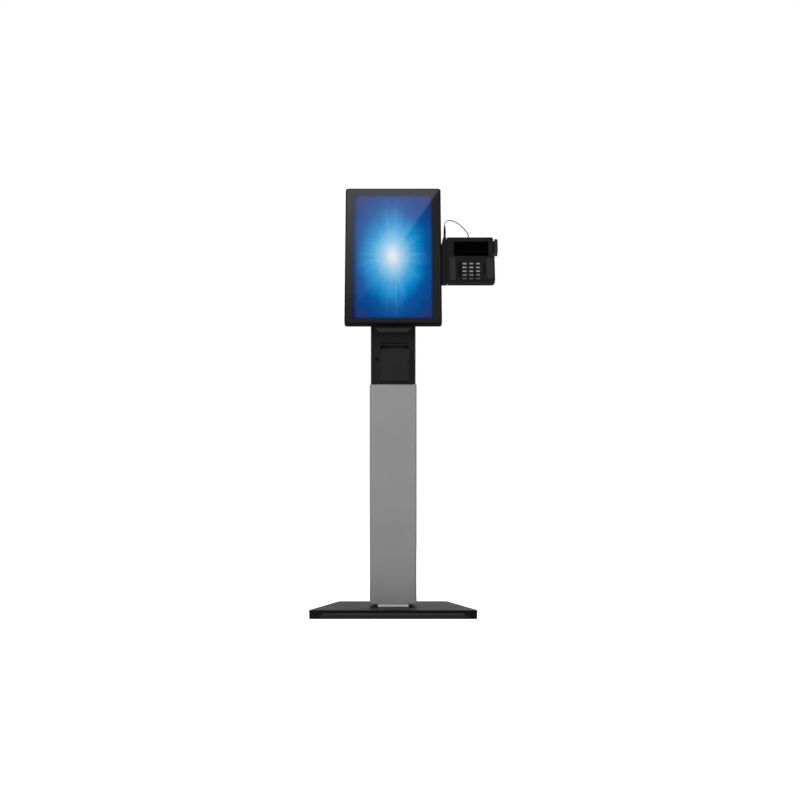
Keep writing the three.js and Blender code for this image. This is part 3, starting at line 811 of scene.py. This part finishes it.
def add_printer():
    refined("printer_housing", "stand", "plastic_deep", 1.0, 3)
    grooves = [block(x - GROOVE_HALF, x + GROOVE_HALF, -60, -55.5, GROOVE_LOW, GROOVE_HIGH, 0.4)
               for x in GROOVES_X]
    grooves.append(block(*SLOT_GROOVE, 0.3))
    piece("printer_case_finished", carve(cad_copy("printer_case"), [merged(grooves)]), "stand",
          "plastic_deep", ["printer_case"], bevel=0.5, segments=2)
    refined("printer_cover", "printer_cover", "plastic", 0.6)
    refined("thermal_head", "stand", "print_head", 0.5)
    refined("platen_roller", "platen", "rubber", 0.4)
    refined("paper_roll", "receipt_roll", "paper", 0.3)
    refined("power_button", "power_button", "button", 0.7)
    refined("printer_led", "stand", "lamp", 0.4)

    # Painted light: a thin paler sheet on the sloping ceiling stands in for the light it catches
    # from the floor.
    soffit = prism(SOFFIT, 0, 0.5, "Y")
    slope = Matrix.Translation(SOFFIT_HINGE + Vector((0, -0.0616, 0)))
    slope = slope @ Matrix.Rotation(SOFFIT_LEAN, 4, "X") @ Matrix.Translation(-SOFFIT_HINGE)
    piece("printer_soffit_painted_lit", soffit, "stand", "ceiling", matrix=slope, bevel=0.2)
    lip = prism(GRIP, -24, 34, "X", 3)
    piece("cover_grip", lip, "printer_cover", "plastic", bevel=0.5)

    flat = [(TOOTH_START, BAR_TOP)]
    for i in range(int((TOOTH_END - TOOTH_START) / TOOTH_PITCH)):
        flat.append((TOOTH_START + i * TOOTH_PITCH, TOOTH_ROOT))
        flat.append((TOOTH_START + (i + 0.5) * TOOTH_PITCH, TOOTH_TIP))
    flat += [(TOOTH_END, TOOTH_ROOT), (TOOTH_END, BAR_TOP)]
    bar = [prism(flat, -56.5, -55.7, "Y", 1),
           block(TOOTH_START, TOOTH_END, -55.7, -49.6, 910.8, BAR_TOP)]
    piece("tear_edge", merged(bar), "stand", "tear_black", ["tear_bar"])

    x, half, z = BUTTON[0], BUTTON_OPENING, BUTTON[2]
    opening = block(x - half, x + half, -70, -50, z - half, z + half)
    bezel = carve(lathe([(5.6, -0.7), (5.6, 0.0), (5.0, 0.35)], BUTTON, "Y"), [opening])
    piece("button_bezel", bezel, "stand", "button")


# ---------------- display
SCREEN_HALF, SCREEN_LOW, SCREEN_TOP = 162, -259.4, 263.5
WINDOW_HALF, WINDOW_LOW, WINDOW_TOP, WINDOW_X = 134, -240, 238, -2.4
RIM_WIDTH, GLASS_GAP, GLASS_THICK = 3.4, 0.3, 3.0
FRAME_FRONT, FRAME_BACK, BACK_Y = 0.4, 24, 50
BACK_W, BACK_H, BACK_WALL = 275, 468, 3
VENT_SLOTS, VENT_START, VENT_STEP = 11, 118, 8
PORTS = ((-88, 15, 7), (-62, 15, 7), (-36, 20, 9), (-10, 14, 12), (16, 14, 12))


def screen_outline(inset, radius):
    half = SCREEN_HALF - inset
    return rect(-half, half, SCREEN_LOW + inset, SCREEN_TOP - inset, radius)


def add_display():
    ring = carve(prism(screen_outline(0, 9), FRAME_FRONT, FRAME_BACK, "Y"), [
        prism(screen_outline(RIM_WIDTH, 6), -4, GLASS_THICK + GLASS_GAP, "Y"),
        prism(centred(290, 497, 3), 2, 21.5, "Y"),
        prism(centred(262, 456, 3), 19, 30, "Y"),
    ])
    piece("screen_frame", ring, "head", "rim", ["display_frame"], matrix=HEAD, bevel=0.9)
    piece("screen_glass", glass_mesh(), "head", ["glass", "picture"], ["touch_glass"],
          HEAD, bevel=0.35, segments=2)
    refined("lcd_panel", "head", "screen_dark", 0.5)

    hollow = centred(BACK_W - 2 * BACK_WALL, BACK_H - 2 * BACK_WALL, 11)
    rear = carve(prism(centred(BACK_W, BACK_H, 14), FRAME_BACK + GAP, BACK_Y, "Y"),
                 [prism(hollow, 20, BACK_Y - BACK_WALL, "Y"), vent_cutters()])
    piece("screen_back", rear, "head", "plastic", ["rear_cover"], matrix=HEAD, bevel=1.6)
    refined("main_board", "head", "board", 0.2, 1)
    screws("back_screws", grid((-124, 124), BACK_Y, (-220, 0, 220)), "head", HEAD, radius=3.2)
    refined("head_plate", "head", "frame_black", 0.7)
    screws("plate_screws", grid((-50, 50), 54.3, (-50, 50)), "head", HEAD, radius=4, height=2.2)
    ports = [block(x - w / 2, x + w / 2, 49.4, 50.35, -190, -190 + h, 0.8, "Y")
             for x, w, h in PORTS]
    piece("port_surrounds", merged(ports), "head", "plastic_dark", matrix=HEAD)


def vent_cutters():
    rows = [side * (VENT_START + k * VENT_STEP) for side in (-1, 1) for k in range(VENT_SLOTS)]
    slots = [(x0, x1, z - 1.5, z + 1.5) for z in rows for x0, x1 in ((-70, -6), (6, 70))]
    return bars(slots, 40, 60, 1.4, 4)


def glass_mesh():
    """A glass sheet whose front is split into the black border and the lit window."""
    bm = bmesh.new()
    edge = outline(screen_outline(RIM_WIDTH + GLASS_GAP, 5.7))
    window = outline(rect(WINDOW_X - WINDOW_HALF, WINDOW_X + WINDOW_HALF, WINDOW_LOW, WINDOW_TOP,
                          0.6))

    def ring(points, y):
        return [bm.verts.new(Vector((p.x, y, p.y)) * MM) for p in points]

    back, front, inner = ring(edge, GLASS_THICK), ring(edge, 0.0), ring(window, 0.0)
    bm.faces.new(back)
    bm.faces.new(inner).material_index = 1
    count = len(front)
    for i in range(count):
        j = (i + 1) % count
        bm.faces.new((front[i], front[j], back[j], back[i]))
        bm.faces.new((front[j], front[i], inner[i], inner[j]))
    bmesh.ops.recalc_face_normals(bm, faces=bm.faces)
    return to_mesh(bm)


# ---------------- terminal
KEY_COLUMNS = (-21.5, 1.3, 24.1)
KEY_ROWS = (-16.4, -31, -45.4, -59.6)
FUNCTION_ROW = -73.8
KEY_W, KEY_H, FUNCTION_H = 16.5, 9.5, 8.9
KEY_HOLE_HALF = (8.65, 5.15)
TERM_FRONT, TERM_WALL = 4, 3
TERM_HALF_W, TERM_HALF_H, TERM_TOP_HALF_W = 80.8, 86.9, 76.8
LENS_WINDOW = (-56.6, 59.8, 14.3, 70.5)     # x0, x1, z0, z1
LEFT_INLAY, RIGHT_INLAY = (-71, -51.5, -79, 9), (53, 76, -72, 6)
KEY_PAD = (-45, -32.5, -67, -10)
RAIL = ((77.1, 32, 1), (92.2, 32, 4.5), (92.2, 81.5, 5), (77.1, 81.5, 0.5))
BACK_LOW_EDGE, BACK_BEND, BACK_TOP = 29, (45.7, -48), 51
SCOOP_CENTRE, SCOOP_STEPS = (32, -38), 12
SCOOP_OUTER, SCOOP_INNER = (17, 25), (12.5, 22)
SCOOP_HALF_TURN = 52


def term_plan(inset, radius):
    """The terminal's outline, narrower at the top right where the card rail stands."""
    side, end, edge = TERM_HALF_W - inset, TERM_HALF_H - inset, TERM_TOP_HALF_W - inset
    return [(-side, -end, 0.8), (side, -end, radius + 4), (side, 11, 1.5), (edge, 15, 1.5),
            (edge, end, radius), (-side, end, radius)]


def sloped_back(inset):
    """Everything in front of the terminal's back, which slopes forward towards its lower edge."""
    low, (deep, bend) = -TERM_HALF_H, BACK_BEND
    edge = BACK_LOW_EDGE - inset
    return prism([(0, low - 5), (edge - 1.5, low - 5), (edge, low), (deep - inset, bend),
                  (BACK_TOP, bend), (BACK_TOP, 120), (0, 120)], -100, 100, "X")


def scoop_outline(inset):
    """The curved finger groove at the right of the keys: an outer arc, then an inner one back."""
    points = []
    for (wide, high), grow, steps in ((SCOOP_OUTER, -inset, range(SCOOP_STEPS + 1)),
                                      (SCOOP_INNER, inset, range(SCOOP_STEPS, -1, -1))):
        for k in steps:
            a = math.radians(SCOOP_HALF_TURN * (2 * k / SCOOP_STEPS - 1))
            points.append((SCOOP_CENTRE[0] + (wide + grow) * math.cos(a),
                           SCOOP_CENTRE[1] + (high + grow) * math.sin(a)))
    return points


def shrunk(box, by):
    return (box[0] + by, box[1] - by, box[2] + by, box[3] - by)


def plate(box, radius, low, high):
    """A flat plate seen from the front: x0, x1, z0, z1 and two depths."""
    return prism(rect(*box, radius), low, high, "Y")


def add_terminal():
    wide, high = KEY_HOLE_HALF
    key_holes = bars([(u - wide, u + wide, v - high, v + high)
                      for u in KEY_COLUMNS for v in (*KEY_ROWS, FUNCTION_ROW)], -4, 10, 2.2, 4)
    shell = carve(prism(term_plan(0, 6), TERM_FRONT, 20, "Y"), [
        prism(term_plan(TERM_WALL, 3), TERM_FRONT + TERM_WALL, 30, "Y"),
        merged([plate(shrunk(LENS_WINDOW, -0.3), 2.3, -4, 10), key_holes]),
        prism(rect(-50.2, -49.4, -79, 8, 0.3), 2, 4.5, "Y", 2),
        plate(KEY_PAD, 4, 2, 5.2),
        prism(scoop_outline(0), 2, 4.8, "Y"),
    ])
    piece("terminal_front", shell, "head", "terminal", ["terminal_top_case"], matrix=TERM,
          bevel=0.8)
    # Painted shade: black sheets laid in the key pad's recess and in the finger scoop, where shade
    # falls.
    pad_shade = plate(shrunk(KEY_PAD, 0.3), 3.8, 4.9, 5.4)
    scoop_shade = prism(scoop_outline(0.2), 4.65, 5.1, "Y")
    piece("key_recess_painted_shade", merged([pad_shade, scoop_shade]), "head", "button", matrix=TERM)
    inlays = [plate(LEFT_INLAY, 2, 3.75, 4.2), plate(RIGHT_INLAY, 7, 3.75, 4.2)]
    piece("terminal_inlay", merged(inlays), "head", "terminal_light",
          matrix=TERM, bevel=0.15)

    outer = carve(prism(term_plan(1.5, 6), 20.3, 45.7, "Y"), [sloped_back(0)], "INTERSECT")
    inner = carve(prism(term_plan(1.5 + TERM_WALL, 3), 10, 42.7, "Y"), [sloped_back(TERM_WALL)],
                  "INTERSECT")
    low = carve(outer, [inner, block(-28, 28, 22.4, 24.8, -95, -76)])
    piece("terminal_back", low, "head", "terminal", ["terminal_bottom_case"], matrix=TERM,
          bevel=0.9)
    refined("chip_card_reader", "head", "plastic_dark", 0.4)
    piece("window_lens", plate(LENS_WINDOW, 2, 4.4, 6.4), "head", "lens", ["terminal_lens"],
          TERM, bevel=0.3)
    refined("terminal_screen", "head", "screen_dark", 0.3)
    refined("keypad_mat", "head", "rubber", 0.4)
    refined("terminal_board", "head", "board", 0.2, 1)
    refined("cord_boss", "head", "rubber", 0.5)
    refined("terminal_cradle", "head", "frame_black", 0.7)
    refined("terminal_arm", "head", "frame_black", 0.7)
    screws("arm_screws", grid((84, 124, 206, 300), 55.6, (-40, 11)), "head", HEAD, radius=3.4,
           height=2)
    rail = carve(prism(RAIL, 6, 38, "Y"), [
        block(70, 81, 0, 18, 10, 95), prism(rect(76, 78.5, 10, 95), 17, 19, "Y"),
    ])
    piece("card_rail", rail, "head", "terminal_light", ["swipe_rail"], matrix=TERM, bevel=1.1)
    add_keys()


# A key's rings from its foot to the dish on top: how far in, and how deep.
KEY_LEVELS = ((0.0, 8.0), (0.0, 3.2), (0.35, 2.55), (0.9, 2.3), (2.3, 2.2), (2.8, 2.28),
              (3.4, 2.36))
KEY_TOP_LEVEL = 4           # from this ring on a key has its paler colour
MARKS = {"star": "*", "hash": "#", "cancel": "X", "clear": "<", "enter": "O"}
FUNCTION_SLOTS = {"cancel": "key_red", "clear": "key_yellow", "enter": "key_green"}
MARK_SIZE, STAR_SIZE, STAR_DROP = 5.6, 8.5, 1.6
MARK_DEPTH = 2.4


def key_mesh(u, v, height):
    """A moulded key: a dark skirt, domed sides and a paler, shallow dish on top."""
    rings = []
    for inset, y in KEY_LEVELS:
        wide, high = KEY_W / 2 - inset, height / 2 - inset
        flat = outline(rect(u - wide, u + wide, v - high, v + high, max(0.6, 2 - inset * 0.5)), 5)
        rings.append([Vector((p.x, y, p.y)) * MM for p in flat])
    return skin(rings, KEY_TOP_LEVEL)


def add_keys():
    labels = ["1", "2", "3", "4", "5", "6", "7", "8", "9", "star", "0", "hash"]
    for i, label in enumerate(labels):
        row, column = divmod(i, 3)
        add_key(label, KEY_COLUMNS[column], KEY_ROWS[row], KEY_H, "key" if row < 3 else "key_dim",
                "legend_dark")
    for u, (label, slot) in zip(KEY_COLUMNS, FUNCTION_SLOTS.items()):
        add_key(label, u, FUNCTION_ROW, FUNCTION_H, "key_" + label, "legend")


def add_key(label, u, v, height, material, legend):
    body = "key_" + label
    piece("cap_" + label, key_mesh(u, v, height), body, ["key_skirt", material], [body], TERM)
    size, drop = (STAR_SIZE, STAR_DROP) if label == "star" else (MARK_SIZE, 0)
    place = TERM @ Matrix.Translation(Vector((u, MARK_DEPTH, v - drop)) * MM)
    glyph("legend_" + label, MARKS.get(label, label), size, place, body, legend)


# ---------------- stylus
PEN_X, PEN_Y, PEN_SIDES = 174.6, 18, 32
# Each turned profile is (radius, height); the pen widens slowly from its tip.
PEN_PROFILE = [(0.0, 28.3), (0.7, 28.4), (1.2, 29.4), (2.5, 33), (3.3, 36), (3.8, 46), (3.8, 106),
               (3.4, 113), (2.6, 121), (2.0, 126.5), (0.0, 126.5)]
CAP_PROFILE = [(0.0, 126.7), (2.1, 126.7), (2.0, 129.4), (1.7, 130.2), (0.0, 130.2)]
WELL_PROFILE = [(4.2, 28), (4.2, 90)]
HOLDER_LEFT, HOLDER_RIGHT, HOLDER_LOW, HOLDER_SHOULDER, HOLDER_PEAK = 162.3, 179.7, -101, 46, 75


def turned(profile):
    return lathe(profile, (PEN_X, PEN_Y, 0), "Z", PEN_SIDES)


def add_stylus():
    wedge = [(HOLDER_LEFT, HOLDER_LOW, 2), (HOLDER_RIGHT, HOLDER_LOW, 0.5),
             (HOLDER_RIGHT, HOLDER_PEAK, 0.5), (PEN_X - 5.8, HOLDER_PEAK, 1),
             (HOLDER_LEFT, HOLDER_SHOULDER, 1)]
    holder = carve(prism(wedge, 8, 28.5, "Y"), [turned(WELL_PROFILE)])
    piece("pen_holder", holder, "head", "terminal", ["stylus_holder"], matrix=HEAD,
          bevel=0.6)
    piece("pen", turned(PEN_PROFILE), "stylus", "terminal", ["stylus"], matrix=HEAD, bevel=0.3)
    piece("pen_cap", turned(CAP_PROFILE), "stylus", "pen_grey", matrix=HEAD,
          bevel=0.2)
    sleeve = tube(cord_path()[0][-SLEEVE_STEPS:], SLEEVE_RADIUS * MM)
    piece("pen_sleeve", sleeve, "stylus", "pen_grey", bevel=0.2)


# ---------------- stage
FLOOR_HALF, FLOOR_DROP = 30, 0.0005
FLOOR_PALE, FLOOR_PALER = 0.84, 0.88
# Painted shade: the floor's own light is weaker near the object, darkening the floor around it.
SHADED_GLOW_NEAR, GLOW_FAR = 0.57, 1.0             # the floor's own light near the object and away from it
GLOW_START, GLOW_END = 0.3, 1.8
FLOOR_BOUNCE = 0.62                         # what the floor throws back onto the object
WORLD_LOW, WORLD_HIGH = 0.22, 0.04          # the sky's light near the horizon and overhead
WORLD_LOW_AT, WORLD_HIGH_AT = 0.46, 0.85

# Name, place, aim, size, watts, roll and beam, in metres and degrees.
LIGHTS = (
    ("key", (-1.9, -2.9, 2.1), (0, 0, 1.0), (1.5, 1.7), 56, 0, 180),
    ("fill", (2.1, -2.2, 1.7), (0, 0, 1.0), (1.4, 1.6), 29, 0, 180),
    ("top", (0, 0.6, 3.8), (0, 0.2, 0), (3.2, 3.2), 90, 0, 180),
    ("rear", (1.8, 3.2, 2.8), (0, 0, 0.8), (2.4, 2.4), 60, 0, 180),
    ("rear_low", (0, 4.2, 0.7), (0, 0, 0.1), (5.0, 1.2), 9, 0, 180),
    # A narrow beam that the screen's glass mirrors, cut off along a diagonal and fading downwards.
    ("glass_sweep", (-0.5107, -1.252, 4.0974), (-0.5104, 0.2691, 1.5116), (2.4, 1.6), 0.102,
     54.8, 12),
)


def grey(level):
    return (level, level, level, 1)


def add_floor():
    """A pale floor whose own light, as the camera sees it, is weaker near the object, a painted
    shade around it; its bounce onto the object is set by itself.
    """
    bm = bmesh.new()
    bm.faces.new([bm.verts.new((x * FLOOR_HALF, y * FLOOR_HALF, -FLOOR_DROP))
                  for x, y in ((-1, -1), (1, -1), (1, 1), (-1, 1))])
    floor = add_object("floor", to_mesh(bm))
    r = Recipe("floor")
    s = r.shader.inputs
    r.feed(s["Base Color"], r.mix(r.noise(3, 3), grey(FLOOR_PALE), grey(FLOOR_PALER)))
    s["Roughness"].default_value = 0.7
    s["Specular IOR Level"].default_value = 0.1
    s["Emission Color"].default_value = WHITE
    away = r.length(r.node("TexCoord").outputs["Object"])
    # Painted shade: less glow near the object darkens the floor around it.
    r.feed(s["Emission Strength"], r.ramp(away, GLOW_START, GLOW_END, SHADED_GLOW_NEAR, GLOW_FAR))
    bounce = r.node("Emission", {"Color": WHITE, "Strength": FLOOR_BOUNCE})
    seen = r.node("MixShader", {"Fac": r.node("LightPath").outputs["Is Camera Ray"]})
    r.feed(seen.inputs[1], bounce.outputs[0])
    r.feed(seen.inputs[2], r.shader.outputs[0])
    r.feed(r.tree.nodes["Material Output"].inputs["Surface"], seen.outputs[0])
    floor.data.materials.append(r.material)


def add_world():
    """White behind the object; as light, a soft grey sky that darkens overhead."""
    world = bpy.data.worlds.new("studio")
    world.use_nodes = True
    tree = world.node_tree
    tree.nodes.clear()

    def new(kind):
        return tree.nodes.new("ShaderNode" + kind)

    backdrop, glow, choose = new("Background"), new("Background"), new("MixShader")
    backdrop.inputs[0].default_value = WHITE
    axes, lift, ramp = new("SeparateXYZ"), new("MapRange"), new("ValToRGB")
    lift.inputs["From Min"].default_value = -1
    lift.inputs["From Max"].default_value = 1
    for end, at, level in ((0, WORLD_LOW_AT, WORLD_LOW), (1, WORLD_HIGH_AT, WORLD_HIGH)):
        ramp.color_ramp.elements[end].position = at
        ramp.color_ramp.elements[end].color = grey(level)
    for start, end in (
            (new("TexCoord").outputs["Generated"], axes.inputs[0]),
            (axes.outputs["Z"], lift.inputs["Value"]), (lift.outputs[0], ramp.inputs[0]),
            (ramp.outputs[0], glow.inputs[0]),
            (new("LightPath").outputs["Is Camera Ray"], choose.inputs[0]),
            (glow.outputs[0], choose.inputs[1]), (backdrop.outputs[0], choose.inputs[2]),
            (choose.outputs[0], new("OutputWorld").inputs[0])):
        tree.links.new(start, end)
    bpy.context.scene.world = world
    bpy.context.scene.view_settings.view_transform = "Standard"


def add_light(name, spot, aim, size, watts, roll, beam):
    data = bpy.data.lights.new(name, "AREA")
    data.shape = "RECTANGLE"
    data.size, data.size_y = size
    data.energy = watts
    data.spread = math.radians(beam)
    lamp = add_object(name, data)
    turn = (Vector(aim) - Vector(spot)).to_track_quat("-Z", "Y").to_matrix().to_4x4()
    roll = Matrix.Rotation(math.radians(roll), 4, "Z")
    lamp.matrix_world = Matrix.Translation(spot) @ turn @ roll
    lamp.visible_camera = False


add_camera()
MATERIALS = make_materials()
add_cord()
add_base()
add_column()
add_neck()
add_printer()
add_display()
add_terminal()
add_stylus()
add_floor()
add_world()
for light in LIGHTS:
    add_light(*light)
